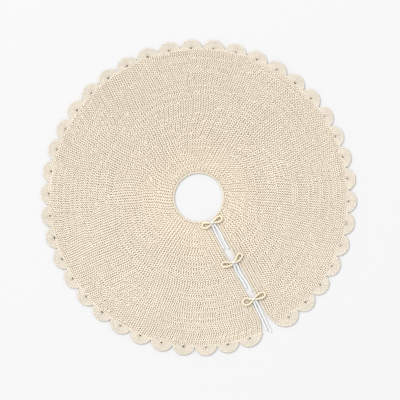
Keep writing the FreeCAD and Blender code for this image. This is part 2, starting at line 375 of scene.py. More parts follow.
# %% Build the cord tree
def cord_tree():
    """Tube along a line, with the V stitches of a narrow knitted cord standing up from it."""
    tree = bpy.data.node_groups.new("knitted_cord", "GeometryNodeTree")
    given = tree_inputs(tree, {
        "Line": ("Geometry", None), "Radius": ("Float", 3.5 * MM), "Step": ("Float", 0.8 * MM),
        "Sides": ("Int", 20), "Columns": ("Float", 4.0), "Stitch Length": ("Float", 6.0 * MM),
        "Relief": ("Float", 0.5 * MM), "Closed Ends": ("Float", 1.0), "Yarn": ("Material", None)})
    strand = Strand(tree)
    line = strand.node("GeometryNodeMeshToCurve", None, {"Mesh": given["Line"]})
    line = line.node("GeometryNodeResampleCurve", {"mode": "LENGTH"},
                     {"Curve": line, "Length": given["Step"]})
    length = strand.node("GeometryNodeSplineParameter", out="Length")
    whole = strand.node("GeometryNodeSplineLength", out="Length")
    to_end = strand.math("MINIMUM", length, whole - length)
    inside = strand.math("MAXIMUM", 1 - to_end / given["Radius"], 0.0)
    rounded = strand.math("SQRT", strand.math("MAXIMUM", 1 - inside * inside, 0.02))
    line = line.node("GeometryNodeSetCurveRadius", None, {
        "Curve": line, "Radius": 1 - (1 - rounded) * given["Closed Ends"]})
    line = line.stored("along", length)
    round_line = round_section(strand, given["Sides"], given["Radius"] - given["Relief"])
    radius = strand.node("GeometryNodeInputRadius")
    tube = line.node("GeometryNodeCurveToMesh", None, {
        "Curve": line, "Profile Curve": round_line, "Scale": radius, "Fill Caps": True})
    cosine, sine, _ = strand.named("around", "FLOAT_VECTOR").split()
    along = strand.named("along")
    column = strand.math("ARCTAN2", sine, cosine) / (2 * math.pi) * given["Columns"]
    across = strand.math("ABSOLUTE", strand.math("FRACT", column + 8) - 0.5) * 2
    row = strand.math("FRACT", along / given["Stitch Length"] - across * 0.45 + 4)
    leg = strand.math("SQRT", strand.math("SINE", row * math.pi))
    groove = strand.math("SINE", strand.math("MINIMUM", across * 1.6 + 0.12, 1.0) * (math.pi / 2))
    edge = strand.math("SINE", strand.math("MINIMUM", (1 - across) * 2.4 + 0.15, 1.0) * (math.pi / 2))
    lift = leg * groove * edge
    normal = strand.node("GeometryNodeInputNormal")
    offset = strand.node("ShaderNodeVectorMath", {"operation": "SCALE"},
                         {0: normal, "Scale": lift * given["Relief"] * 1.5})
    tube = tube.node("GeometryNodeSetPosition", None, {"Geometry": tube, "Offset": offset})
    # Painted shade: a cord's tone value is its lift, so the grooves between its V stitches come out
    # darker.
    tube = tube.stored("tone_and_groove_shade", lift)
    tube = tube.node("GeometryNodeSetShadeSmooth", None, {"Geometry": tube})
    return finished(tube, given["Yarn"])


CORD_TREE = cord_tree()
print("cord tree:", len(CORD_TREE.nodes), "nodes")

# %% Lines and tubes
def spline_line(name, points):
    """The points that a smooth NURBS spline through a route's bends gives, with its length."""
    data = bpy.data.curves.new(name, "CURVE")
    data.dimensions = "3D"
    data.resolution_u = 10
    spline = data.splines.new("NURBS")
    spline.points.add(len(points) - 1)
    for point, place in zip(spline.points, points):
        point.co = (*place, 1)
    spline.order_u = 3
    spline.use_endpoint_u = True
    stand_in = bpy.data.objects.new(name, data)
    bpy.context.collection.objects.link(stand_in)
    bpy.context.view_layer.update()
    made = bpy.data.meshes.new_from_object(stand_in)
    line = [tuple(vertex.co) for vertex in made.vertices]
    bpy.data.meshes.remove(made)
    bpy.data.objects.remove(stand_in)
    return line, sum(math.dist(a, b) for a, b in zip(line, line[1:]))


def line_mesh(line, closed=False):
    """A mesh of edges along a line."""
    edges = [(i, i + 1) for i in range(len(line) - 1)]
    if closed:
        edges.append((len(line) - 1, 0))
    mesh = bpy.data.meshes.new("line")
    mesh.from_pydata(line, edges, [])
    return mesh


def corners(mesh):
    """The places of a mesh's vertices, one row each."""
    spots = np.zeros(len(mesh.vertices) * 3, np.float32)
    mesh.vertices.foreach_get("co", spots)
    return spots.reshape(-1, 3)


def show_piece(name, mesh, body=None, nodes=(), fold=False):
    """Makes a finished mesh a piece of the skirt, riding on a body, or kept off the bodies at the
    fold.
    """
    flat = mesh.attributes.new("flat", "FLOAT_VECTOR", "POINT")
    flat.data.foreach_set("vector", corners(mesh).ravel())
    piece = bpy.data.objects.new(name, mesh)
    bpy.context.collection.objects.link(piece)
    if fold:
        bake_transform(piece)
    else:
        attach(piece, body)
    if nodes:
        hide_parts(*nodes)
    return piece


print("pieces can be shown")

# %% [markdown]
# ## The bows' loops and tails
#
# The loops lie on the cloth either side of their knot, and the tails drop into the slit and lie along
# the floor. Each route starts at the knot, and its points are written from the knot's middle, so the
# same numbers hold wherever the bow is tied. A loop goes back into the knot, and a tail ends bare.

# %% Write the routes
CORD_WIDTH = 7 * MM
LOOP_HEIGHT = CLOTH_TOP + 0.6 * MM + CORD_WIDTH / 2
TAIL_ROOM = HALF_GAP - CORD_WIDTH / 2

LOOP_ROUTES = {
    "neck_bow_loop_left": [
        (-14.0, 5.5), (-21.0, 11.5), (-30.5, 14.3), (-39.0, 11.5), (-42.0, 3.5), (-37.0, -4.5),
        (-27.0, -8.0), (-17.0, -6.5)],
    "neck_bow_loop_right": [
        (14.5, 5.0), (23.0, 9.5), (33.0, 10.5), (41.0, 6.0), (42.0, -2.5), (35.5, -9.0),
        (25.5, -10.0), (16.0, -6.5)],
    "middle_bow_loop_left": [
        (-14.5, 5.5), (-22.0, 13.5), (-32.0, 19.5), (-41.5, 18.5), (-46.5, 11.0), (-42.5, 2.5),
        (-32.0, -2.5), (-20.0, -5.0)],
    "middle_bow_loop_right": [
        (14.0, 6.0), (19.0, 13.0), (26.5, 19.5), (35.5, 20.5), (42.0, 14.5), (41.5, 6.0),
        (33.0, 0.0), (21.0, -3.5)],
    "rim_bow_loop_left": [
        (-13.5, 6.0), (-18.0, 13.5), (-26.0, 18.8), (-35.5, 17.8), (-42.5, 10.5), (-42.8, 1.0),
        (-36.0, -7.0), (-26.0, -9.8), (-16.5, -7.0)],
    "rim_bow_loop_right": [
        (16.5, 5.5), (27.0, 9.0), (38.0, 9.0), (46.5, 4.5), (49.0, -3.5), (43.0, -10.5),
        (32.5, -12.0), (20.0, -8.5)],
}
TAIL_ROUTES = {
    "neck_bow_tail_left": [
        (-0.56, -20.0), (-0.76, -36.0), (-0.93, -56.0), (-0.86, -76.0), (-0.95, -95.0),
        (-0.86, -112.0)],
    "neck_bow_tail_right": [
        (0.61, -20.0), (0.90, -37.0), (0.94, -58.0), (0.72, -79.0), (0.59, -99.0), (0.88, -118.0)],
    "middle_bow_tail_left": [
        (-0.61, -20.0), (-0.92, -35.0), (-0.93, -53.0), (-0.59, -71.0), (-0.38, -91.0),
        (-0.59, -112.0)],
    "middle_bow_tail_right": [
        (0.57, -20.0), (0.48, -35.0), (0.34, -53.0), (0.59, -72.0), (0.90, -92.0),
        (0.86, -112.0), (0.95, -131.0)],
    "rim_bow_tail_left": [
        (-0.59, -21.0), (-0.84, -38.0), (-0.93, -60.0), (-0.99, -84.0), (-1.26, -108.0),
        (-1.30, -132.0)],
    "rim_bow_tail_right": [
        (0.55, -21.0), (0.46, -39.0), (0.25, -63.0), (0.13, -89.0), (-0.13, -116.0),
        (-0.17, -144.0)],
}
TAIL_HEIGHTS = (2.9, 0.4, 0.1, 0.2, 0.1, 0.2, 0.1)
print(len(LOOP_ROUTES), "loops and", len(TAIL_ROUTES), "tails")

# %% Where the bows are tied
BOWS = {}
for bow in ("neck_bow", "middle_bow", "rim_bow"):
    low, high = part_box(bow + "_knot")
    BOWS[bow] = (low.y + high.y) / 2
    print(bow, "knot at y", round(BOWS[bow], 4))

# %% Knit the loops and the tails
def knit_cord(name, points, node, yarn, closed_ends):
    """One free cord along a route: its piece, its line and its length."""
    line, length = spline_line(name + "_line", points)
    mesh = run_tree(CORD_TREE, name, line_mesh(line), {
        "Radius": CORD_WIDTH / 2, "Closed Ends": closed_ends, "Yarn": yarn})
    cord = show_piece(name, mesh, body=node, nodes=[node])
    print(f"{name}: {length * 1000:.1f} mm, {triangles(mesh)} triangles")
    return cord, line, length


cords = {}
for name, route in LOOP_ROUTES.items():
    bow = name.rsplit("_loop_", 1)[0]
    knot_side = math.copysign(7.4, route[0][0])
    whole = [(knot_side, 4.0), *route, (knot_side, -4.0)]
    points = [(x * MM, BOWS[bow] + y * MM, LOOP_HEIGHT) for x, y in whole]
    cords[name] = (*knit_cord(name + "_cord", points, name, LOOP_YARN, 0.0), "object")
for name, route in TAIL_ROUTES.items():
    bow = name.rsplit("_tail_", 1)[0]
    start = (math.copysign(4.0, route[0][0]) * MM, BOWS[bow] - 7.0 * MM, 9.4 * MM)
    points = [start] + [(x * TAIL_ROOM, BOWS[bow] + y * MM, z * MM + CORD_WIDTH / 2)
                        for (x, y), z in zip(route, TAIL_HEIGHTS)]
    cords[name] = (*knit_cord(name + "_cord", points, bow + "_tails", TAIL_YARN, 1.0), "bare")

# %% [markdown]
# ## Knots
#
# A bow's knot is the same cord wrapped over the crossing. It could be one modelled lump, but wraps
# made of real cord show the gap between them and meet the loops as the real ones do. Under the wraps
# a short end runs out to each edge of the slit, where it is sewn on.

# %% Wrap the knots
WRAP_STEPS = 28
WRAP_MIDDLE = 10.4 * MM
WRAP_HALF_HEIGHT = 3.3 * MM
WRAP_HALF_WIDTH = 3.1 * MM
WRAPS = ((-3.3 * MM, 0.7 * MM), (3.2 * MM, -0.5 * MM))
SEWN_STEPS = (14.6, 12.0, 9.0, 6.0, 3.0, 0.6)
SEWN_HEIGHT = 4.0 * MM
KNOT_CORD_RADIUS = 3.4 * MM


def wrap_line(x, lean, y):
    """A closed ring of cord over the crossing, leaning a little to one side."""
    turns = [2 * math.pi * step / WRAP_STEPS for step in range(WRAP_STEPS)]
    return [(x + lean * math.cos(turn), y + WRAP_HALF_WIDTH * math.cos(turn),
             WRAP_MIDDLE + WRAP_HALF_HEIGHT * math.sin(turn)) for turn in turns]


def joined(name, meshes):
    """One mesh from several, keeping their materials and attributes."""
    pieces = []
    for mesh in meshes:
        piece = bpy.data.objects.new(mesh.name, mesh)
        bpy.context.collection.objects.link(piece)
        pieces.append(piece)
    with bpy.context.temp_override(active_object=pieces[0], object=pieces[0], selected_objects=pieces,
                                   selected_editable_objects=pieces):
        bpy.ops.object.join()
    result = pieces[0].data
    result.name = name
    bpy.data.objects.remove(pieces[0])
    return result


for bow, y in BOWS.items():
    strands = []
    for x, lean in WRAPS:
        strands.append(run_tree(CORD_TREE, "wrap", line_mesh(wrap_line(x, lean, y), closed=True), {
            "Radius": KNOT_CORD_RADIUS, "Closed Ends": 0.0, "Yarn": KNOT_YARN}))
    for side in (-1, 1):
        end = [(side * step * MM, y, SEWN_HEIGHT) for step in SEWN_STEPS]
        strands.append(run_tree(CORD_TREE, "sewn_end", line_mesh(end), {
            "Radius": KNOT_CORD_RADIUS, "Closed Ends": 1.0, "Yarn": KNOT_YARN}))
    show_piece(bow + "_knot_wraps", joined(bow + "_knot_wraps", strands),
                            body="front_half", nodes=[bow + "_knot"])

for name, (cord, line, length, far_end) in cords.items():
    bow = name.rsplit("_", 2)[0]
print(len(cords), "cords declared")

# %% [markdown]
# ## Room and light
#
# The skirt lies on a plain white floor under soft light. Even light from all round would leave the
# stitches flat, so one large soft lamp stands low on the side away from the slit: it brightens the
# near slopes of the stitches and draws a thin shadow past the rim on the far side.

# %% Lay the floor
FLOOR_SIZE = 14.0
floor_mesh = bpy.data.meshes.new("floor")
half = FLOOR_SIZE / 2
floor_mesh.from_pydata([(-half, -half, 0), (half, -half, 0), (half, half, 0), (-half, half, 0)], [],
                       [(0, 1, 2, 3)])
floor_finish = bpy.data.materials.new("floor_paint")
floor_finish.use_nodes = True
paint = floor_finish.node_tree.nodes["Principled BSDF"]
paint.inputs["Base Color"].default_value = (0.75, 0.75, 0.755, 1)
paint.inputs["Roughness"].default_value = 0.9
paint.inputs["Specular IOR Level"].default_value = 0.1
floor_mesh.materials.append(floor_finish)
floor = bpy.data.objects.new("floor", floor_mesh)
bpy.context.collection.objects.link(floor)
print("floor laid")

# %% Hang the light
LAMP_AZIMUTH = math.radians(106.5)
LAMP_HEIGHT = math.radians(42)
LAMP_DISTANCE = 40.0
LAMP_SIZE = 16.0
LAMP_POWER = 8700.0
SKY_STRENGTH = 0.91

world = bpy.data.worlds.new("studio")
bpy.context.scene.world = world
world.use_nodes = True
sky = world.node_tree.nodes["Background"]
sky.inputs["Color"].default_value = (0.985, 0.99, 1.0, 1)
sky.inputs["Strength"].default_value = SKY_STRENGTH
lamp_data = bpy.data.lights.new("soft_lamp", "AREA")
lamp_data.shape = "DISK"
lamp_data.size = LAMP_SIZE
lamp_data.energy = LAMP_POWER
lamp_data.color = (1.0, 0.985, 0.96)
lamp = bpy.data.objects.new("soft_lamp", lamp_data)
towards = Vector((math.cos(LAMP_AZIMUTH) * math.cos(LAMP_HEIGHT),
                  math.sin(LAMP_AZIMUTH) * math.cos(LAMP_HEIGHT), math.sin(LAMP_HEIGHT)))
lamp.location = towards * LAMP_DISTANCE
lamp.rotation_euler = towards.to_track_quat("Z", "Y").to_euler()
bpy.context.collection.objects.link(lamp)
bpy.context.scene.view_settings.view_transform = "Standard"
print("lamp at", [round(x, 2) for x in lamp.location])

# %% [markdown]
# ## The knitting chart
#
# Garter stitch makes ridges that run from the neck to the rim, each a line of round purl bumps. The
# ridges keep about the same width, so new ones have to start all the way out to fill the circle. That
# is the pattern that the eye reads, so it is charted first: one row of stitches for each step outward,
# where each stitch remembers the ridge that it belongs to and new ridges open up in between and then
# ease apart. Every other ridge lies a little further out, so that the rows don't read as rings.

# %% Chart the stitches
COURSES = 54
COURSE = (RIM_RADIUS - NECK_RADIUS) / COURSES
CHART_SEED = 24
STAGGER = 0.22
TWIN_SHARE = 0.62
EASE_SIDEWAYS = 0.22
EASE_TO_EVEN = 0.12


def ridge_width(radius):
    """Width of one ridge at this radius: wider at the neck, where the knitting is looser."""
    return (10.5 - 2.0 * (radius - 0.174) / 0.36) * MM


def chart_courses():
    """For each course outward: each ridge's radius, angle, lean and width."""
    chance = np.random.default_rng(CHART_SEED)
    shares, angles, steps, courses = None, None, None, []
    for number in range(COURSES):
        radius = NECK_RADIUS + (number + 0.5) * COURSE
        edge = slit_angle(radius, BAND_WIDTH)
        room = 2 * math.pi - 2 * edge
        count = round(room * radius / ridge_width(radius))
        if shares is None:
            shares = np.full(count, 1 / count)
            parents = np.arange(count)
            steps = parents % 2
        else:
            new = count - len(shares)
            spots = (np.arange(new) + chance.random(new)) / max(new, 1) * len(shares)
            parents = np.sort(np.concatenate([np.arange(len(shares)), spots.astype(int)]))
            first = np.r_[True, parents[1:] != parents[:-1]]
            twin = ~first | np.r_[~first[1:], False]
            shares = shares[parents] * np.where(twin, TWIN_SHARE, 1.0)
            steps = np.where(first, steps[parents], 1 - steps[parents])
            shares /= shares.sum()
        for _ in range(2):
            around = np.r_[shares[0], shares, shares[-1]]
            shares = (shares + EASE_SIDEWAYS * (around[:-2] - 2 * shares + around[2:])
                      + EASE_TO_EVEN * (1 / count - shares))
        shares /= shares.sum()
        place = np.cumsum(shares) - shares / 2
        turned = -math.pi / 2 + edge + place * room
        lean = np.zeros(count)
        if angles is not None:
            lean = np.arctan((turned - angles[parents]) * radius / COURSE)
        reach = radius + (steps - 0.5) * STAGGER * COURSE
        courses.append((reach, turned, 0.6 * lean, shares * room * radius))
        angles = turned
    return courses


chart = chart_courses()
print("ridges at the neck", len(chart[0][1]), "and at the rim", len(chart[-1][1]),
      "stitches", sum(len(course[1]) for course in chart))

# %% Turn the chart into points
def chart_points(rows):
    """Rows of x, y, heading, length along the heading and width across it, as a mesh of points."""
    table = np.array(rows, np.float32).reshape(-1, 5)
    mesh = bpy.data.meshes.new("chart")
    mesh.vertices.add(len(table))
    places = np.zeros((len(table), 3), np.float32)
    places[:, :2] = table[:, :2]
    mesh.vertices.foreach_set("co", places.ravel())
    for column, name in ((2, "heading"), (3, "length"), (4, "width")):
        mesh.attributes.new(name, "FLOAT", "POINT").data.foreach_set(
            "value", np.ascontiguousarray(table[:, column]))
    mesh.update()
    return mesh


cloth_rows = []
for reaches, turned, lean, width in chart:
    for reach, angle, tilt, across in zip(reaches, turned, lean, width):
        cloth_rows.append((reach * math.cos(angle), reach * math.sin(angle), angle + tilt,
                           COURSE, across))
print(len(cloth_rows), "stitches charted")

# %% [markdown]
# ## One stitch, many times
#
# Every stitch in the skirt is two short arcs of yarn that rise out of the cloth, bulge to opposite
# sides and dive back in. Garter bumps, the chain along an edge and the fans of the shells differ only
# in how long, wide and high the arcs are. So one Geometry Nodes tree makes them all: it bends the two
# arcs, sets the pair on each point of a chart, turns it to the point's heading, fits it to the room
# there and loosens it a little, as hands do.

# %% Build the stitch tree
def stitch_tree():
    """Pairs of yarn arcs on the points of a chart."""
    tree = bpy.data.node_groups.new("stitches", "GeometryNodeTree")
    given = tree_inputs(tree, {
        "Chart": ("Geometry", None), "Yarn Radius": ("Float", 2.1 * MM), "Sides": ("Int", 5),
        "Steps": ("Int", 6), "Arc Length": ("Float", 0.36), "Arc Reach": ("Float", 0.32),
        "Root": ("Float", 0.04), "Sweep": ("Float", 2.0), "Low": ("Float", 2.2 * MM),
        "High": ("Float", 5.9 * MM), "Twin Shift": ("Float", 0.5), "Twin Drop": ("Float", 0.3 * MM),
        "Unit": ("Float", 10 * MM), "Looseness": ("Float", 0.06), "Seed": ("Int", 3),
        "Yarn": ("Material", None)})
    strand = Strand(tree)
    factor = strand.node("GeometryNodeSplineParameter", out="Factor")
    reached = strand.node("GeometryNodeSplineParameter", out="Length")
    sweep = (factor - 0.5) * 2 * given["Sweep"]
    unit = given["Unit"]
    rise = (strand.math("COSINE", sweep) - strand.math("COSINE", given["Sweep"])) / (
        1 - strand.math("COSINE", given["Sweep"]))
    round_line = round_section(strand, given["Sides"], given["Yarn Radius"])
    arcs = []
    for side, shift, drop in ((1, 0.0, 0.0), (-1, given["Twin Shift"] * unit, given["Twin Drop"])):
        line = strand.node("GeometryNodeCurvePrimitiveLine", None, {"End": (0.01, 0, 0)})
        line = line.node("GeometryNodeResampleCurve", {"mode": "COUNT"},
                         {"Curve": line, "Count": given["Steps"]})
        bent = strand.node("ShaderNodeCombineXYZ", None, {
            "X": strand.math("SINE", sweep) * given["Arc Length"] * unit + shift,
            "Y": (strand.math("COSINE", sweep) * given["Arc Reach"] - given["Root"]) * unit * side,
            "Z": given["Low"] + (given["High"] - given["Low"] - drop) * rise})
        line = line.node("GeometryNodeSetPosition", None, {"Geometry": line, "Position": bent})
        arcs.append(line.stored("along", reached))
    pair = tree.nodes.new("GeometryNodeJoinGeometry")
    for line in reversed(arcs):
        tree.links.new(line.socket, pair.inputs[0])
    tube = strand.node("GeometryNodeCurveToMesh", None, {
        "Curve": Strand(tree, pair.outputs[0]), "Profile Curve": round_line, "Fill Caps": True})
    tube = tube.node("GeometryNodeSetShadeSmooth", None, {"Geometry": tube})

    def loosened(order):
        seed = strand.node("ShaderNodeMath", {"operation": "ADD"}, {0: given["Seed"], 1: order})
        made = tree.nodes.new("FunctionNodeRandomValue")
        tree.links.new(seed.socket, made.inputs["Seed"])
        made.inputs[2].default_value, made.inputs[3].default_value = -1.0, 1.0
        return Strand(tree, made.outputs[1]) * given["Looseness"]

    heading = strand.node("ShaderNodeCombineXYZ", None, {
        "X": loosened(0) * 1.2, "Y": loosened(1) * 1.2,
        "Z": strand.named("heading") + loosened(2) * 2})
    fitted = strand.node("ShaderNodeCombineXYZ", None, {
        "X": strand.named("length") / unit * (1 + loosened(3)),
        "Y": strand.named("width") / unit * (1 + loosened(4)), "Z": 1 + loosened(5) * 0.5})
    placed = tube.node("GeometryNodeInstanceOnPoints", None, {
        "Points": given["Chart"], "Instance": tube, "Rotation": heading, "Scale": fitted})
    tone_and_groove_shade = tree.nodes.new("FunctionNodeRandomValue")
    tree.links.new(given["Seed"].socket, tone_and_groove_shade.inputs["Seed"])
    placed = placed.stored("tone_and_groove_shade", Strand(tree, tone_and_groove_shade.outputs[1]), domain="INSTANCE")
    return finished(placed, given["Yarn"])


STITCH_TREE = stitch_tree()
print("stitch tree:", len(STITCH_TREE.nodes), "nodes")

# %% Lay a map from above on a piece
def map_from_above(mesh):
    """Gives a flat piece a UV map as seen from above, for finishes that are painted on to it."""
    spots = corners(mesh)[:, :2]
    low = spots.min(0)
    spread = float((spots.max(0) - low).max())
    corner = np.zeros(len(mesh.loops), np.int32)
    mesh.loops.foreach_get("vertex_index", corner)
    layer = mesh.uv_layers.new(name="OFBake")
    layer.uv.foreach_set("vector", ((spots[corner] - low) / spread * 0.998 + 0.001).ravel())


# %% Knit a chart into pieces
def part_of_skirt(x, y):
    """The part of the skirt that a point belongs to: a half, a side or one side of the fold."""
    side = "left" if x < 0 else "right"
    if abs(y) < FOLD_REACH:
        return "fold_" + side
    return "back" if y > 0 else "front_" + side


def knit_rows(name, rows, values, most=1600):
    """Stitches for rows of a chart: a piece for each part of the skirt, or several for a large one."""
    parts = {}
    for row in rows:
        parts.setdefault(part_of_skirt(row[0], row[1]), []).append(row)
    made = {}
    for part, found in parts.items():
        found.sort(key=lambda row: math.atan2(row[0], row[1]))
        shares = np.array_split(np.array(found), max(1, math.ceil(len(found) / most)))
        for number, share in enumerate(shares, 1):
            label = f"{name}_{part}" + (f"_{number}" if len(shares) > 1 else "")
            mesh = run_tree(STITCH_TREE, label, chart_points(share), values)
            map_from_above(mesh)
            fold = part.startswith("fold")
            body = None if fold else "back_half" if part == "back" else "front_half"
            made.setdefault(part, []).append(show_piece(label, mesh, body=body, fold=fold))
            print(f"{label}: {len(share)} stitches, {triangles(mesh)} triangles")
    return made


cloth_stitches = knit_rows("stitches", cloth_rows, {
    "Yarn Radius": 2.5 * MM, "Arc Length": 0.29, "Arc Reach": 0.44, "Root": 0.12, "High": 5.5 * MM,
    "Twin Drop": 1.7 * MM, "Looseness": 0.04, "Yarn": CLOTH_YARN})

# %% [markdown]
# ## The cloth under the stitches
#
# Arcs of yarn alone would let the floor show between them. On the real skirt the back of each stitch
# closes the cloth, so a thin closed sheet lies inside the stitches; its top, which shows between the
# arcs, is painted dark brown as the shade that falls there. It is laid out as rings and spokes between
# the hole and the rim with the slit left open, and cut where it crosses the fold, so that each half is
# stiff and only a narrow strip bends.

# %% Mix the finish of the sheet
def sheet_finish(name):
    """The back of garter stitch: rows of small bumps round the hole, with painted shade where they
    meet.
    """
    finish, strand, place, fibre, patch = matt_cotton(name)
    x, y, height = place.split()
    radius = strand.math("SQRT", x * x + y * y)
    course = (radius - NECK_RADIUS) / COURSE
    ring = strand.math("FLOOR", course)
    ring_radius = (ring + 0.5) * COURSE + NECK_RADIUS
    ridges = strand.math("ROUND", 2 * math.pi * ring_radius / (11.4 * MM - ring_radius * 0.0054))
    ridge = strand.math("ARCTAN2", y, x) / (2 * math.pi) * ridges
    across = strand.math("SINE", ridge * (2 * math.pi))
    row = strand.math("SINE", strand.math("FRACT", course) * math.pi)
    upper = strand.math("SINE", (strand.math("FRACT", course) + across * 0.16) * (2 * math.pi))
    bump = row * 0.55 + (upper * across * 0.25 + 0.25)
    # Painted shade: the bumps of the back side darken where they meet.
    colour = tinted(between(bump, 0.1, 0.85), (0.50, 0.41, 0.28, 1), (0.93, 0.83, 0.67, 1))
    # Painted shade: the top of the sheet, seen between the stitches, is dark brown, darker away from
    # the neck.
    painted_gap_shade = tinted(between(radius, 0.13, 0.24), (0.45, 0.37, 0.26, 1), (0.29, 0.23, 0.155, 1))
    colour = tinted(between(height, 2.0 * MM, 3.0 * MM), colour, painted_gap_shade)
    colour = brightened(colour, 0.86 + fibre * 0.12 + patch * 0.10)
    dye_and_shade(finish, colour, bump + fibre * 0.12, 0.9, 2.5 * MM)
    return finish


SHEET_FINISH = sheet_finish("cloth_back_and_gap_shade")
print("finish:", SHEET_FINISH.name)

# %% Lay out the sheet
SHEET_TOP = 4.4 * MM
SHEET_BOTTOM = 0.4 * MM
SHEET_INNER = NECK_RADIUS - 2 * MM
SHEET_OUTER = RIM_RADIUS + 1 * MM
SHEET_MARGIN = BAND_WIDTH - 2 * MM
SHEET_RINGS = 24
SHEET_SPOKES = 180


def ring_layer(body, height):
    """The sheet's points at one height: a row of them for each ring, from edge to edge of the slit."""
    rows = []
    for radius in np.linspace(SHEET_INNER, SHEET_OUTER, SHEET_RINGS + 1):
        edge = slit_angle(radius, SHEET_MARGIN)
        angles = [-math.pi / 2 + edge + (2 * math.pi - 2 * edge) * spoke / SHEET_SPOKES
                  for spoke in range(SHEET_SPOKES + 1)]
        rows.append([body.verts.new((radius * math.cos(angle), radius * math.sin(angle), height))
                     for angle in angles])
    return rows


def ring_body():
    """The closed sheet: a ring with the slit left open."""
    body = bmesh.new()
    bottom, top = ring_layer(body, SHEET_BOTTOM), ring_layer(body, SHEET_TOP)
    for a in range(SHEET_RINGS):
        for b in range(SHEET_SPOKES):
            body.faces.new((top[a][b], top[a + 1][b], top[a + 1][b + 1], top[a][b + 1]))
            body.faces.new((bottom[a][b], bottom[a][b + 1], bottom[a + 1][b + 1], bottom[a + 1][b]))
        body.faces.new((bottom[a + 1][0], top[a + 1][0], top[a][0], bottom[a][0]))
        body.faces.new((bottom[a][-1], top[a][-1], top[a + 1][-1], bottom[a + 1][-1]))
    for b in range(SHEET_SPOKES):
        body.faces.new((bottom[0][b], top[0][b], top[0][b + 1], bottom[0][b + 1]))
        body.faces.new((bottom[-1][b + 1], top[-1][b + 1], top[-1][b], bottom[-1][b]))
    bmesh.ops.recalc_face_normals(body, faces=body.faces)
    return body


def cut_into_parts(body, name, finish):
    """Cuts a body at the fold strip, and across it to let it bend; a closed mesh for each part."""
    for y in np.linspace(-FOLD_REACH, FOLD_REACH, 17):
        everything = body.verts[:] + body.edges[:] + body.faces[:]
        bmesh.ops.bisect_plane(body, geom=everything, dist=1e-6, plane_co=(0, y, 0),
                               plane_no=(0, 1, 0))
    meshes = {}
    for part in ("back", "front_left", "front_right", "fold_left", "fold_right"):
        piece = body.copy()
        spare = [face for face in piece.faces
                 if part_of_skirt(face.calc_center_median().x, face.calc_center_median().y) != part]
        bmesh.ops.delete(piece, geom=spare, context="FACES")
        bmesh.ops.holes_fill(piece, edges=[edge for edge in piece.edges if edge.is_boundary])
        bmesh.ops.recalc_face_normals(piece, faces=piece.faces)
        for face in piece.faces:
            face.smooth = True
        mesh = bpy.data.meshes.new(f"{name}_{part}")
        piece.to_mesh(mesh)
        piece.free()
        mesh.materials.append(finish)
        mesh.set_sharp_from_angle(angle=math.radians(50))
        meshes[part] = mesh
    body.free()
    return meshes


# %% Put the sheet on its bodies
BODY_OF_PART = {"back": "back_half", "front_left": "front_half", "front_right": "front_half"}
CLOTH_NODES = {"back": "knit_back", "front_left": "knit_front_left",
               "front_right": "knit_front_right"}


def place_parts(name, body, finish, nodes):
    """Cuts a body into the parts of the skirt and makes each one a piece."""
    pieces = {}
    for part, mesh in cut_into_parts(body, name, finish).items():
        map_from_above(mesh)
        pieces[part] = show_piece(
            f"{name}_{part}", mesh, body=BODY_OF_PART.get(part), fold=part.startswith("fold"),
            nodes=[nodes[part]] if part in nodes else [])
        print(pieces[part].name, triangles(mesh), "triangles")
    return pieces


sheets = place_parts("cloth", ring_body(), SHEET_FINISH, CLOTH_NODES)

# %% [markdown]
# ## Bound-off edges
#
# The neck and the slit are bound off: a line of chain stitches lies along them over a rounded edge.
# The edge is a soft roll, and the chain is the same stitch tree with longer, flatter arcs set along
# the middle of the roll, each link reaching into the next.

# %% Trace the edge of the neck and the slit
def edge_line(inset):
    """The line this far in from the edge: up the slit's right side, round the neck, down its left."""
    corner = math.sqrt((HOLE_RADIUS + inset) ** 2 - (HALF_GAP + inset) ** 2)
    mouth = FLARE_START + FLARE_LENGTH
    side = []
    for step in range(121):
        distance = corner + (mouth - corner) * step / 120
        side.append((slit_half_width(distance, inset), -distance))
    start = math.atan2(-corner, HALF_GAP + inset)
    sweep = math.pi - 2 * start
    turn = [(HOLE_RADIUS + inset, start + sweep * step / 150) for step in range(1, 150)]
    neck = [(radius * math.cos(angle), radius * math.sin(angle)) for radius, angle in turn]
    return side[::-1] + neck + [(-x, y) for x, y in side]


def along_line(line, pitch):
    """Chart rows at even steps along a line: x, y, heading, length and width."""
    line = np.array(line)
    steps = np.linalg.norm(np.diff(line, axis=0), axis=1)
    reached = np.r_[0, np.cumsum(steps)]
    count = round(reached[-1] / pitch)
    real = reached[-1] / count
    middles = (np.arange(count) + 0.5) * real

    def spots(at):
        return np.stack([np.interp(at, reached, line[:, axis]) for axis in (0, 1)], axis=1)

    ahead = spots(middles + 0.3 * real) - spots(middles - 0.3 * real)
    return [(x, y, math.atan2(up, across), real, real)
            for (x, y), (across, up) in zip(spots(middles), ahead)]


ROLL_HALF_WIDTH = BAND_WIDTH / 2 - 0.2 * MM
ROLL_BOTTOM = 0.3 * MM
ROLL_TOP = 5.2 * MM
edge_middle = edge_line(BAND_WIDTH / 2)
print("edge from", [round(v, 3) for v in edge_middle[0]], "to", [round(v, 3) for v in edge_middle[-1]])

# %% Roll the edge
def skinned(rings):
    """A closed body over rings of points: walls from each ring to the next and a cap at each end."""
    body = bmesh.new()
    loops = [[body.verts.new(spot) for spot in ring] for ring in rings]
    for first, second in zip(loops, loops[1:]):
        for number in range(len(first)):
            after = (number + 1) % len(first)
            body.faces.new((first[number], second[number], second[after], first[after]))
    body.faces.new(loops[0])
    body.faces.new(loops[-1][::-1])
    bmesh.ops.recalc_face_normals(body, faces=body.faces)
    return body


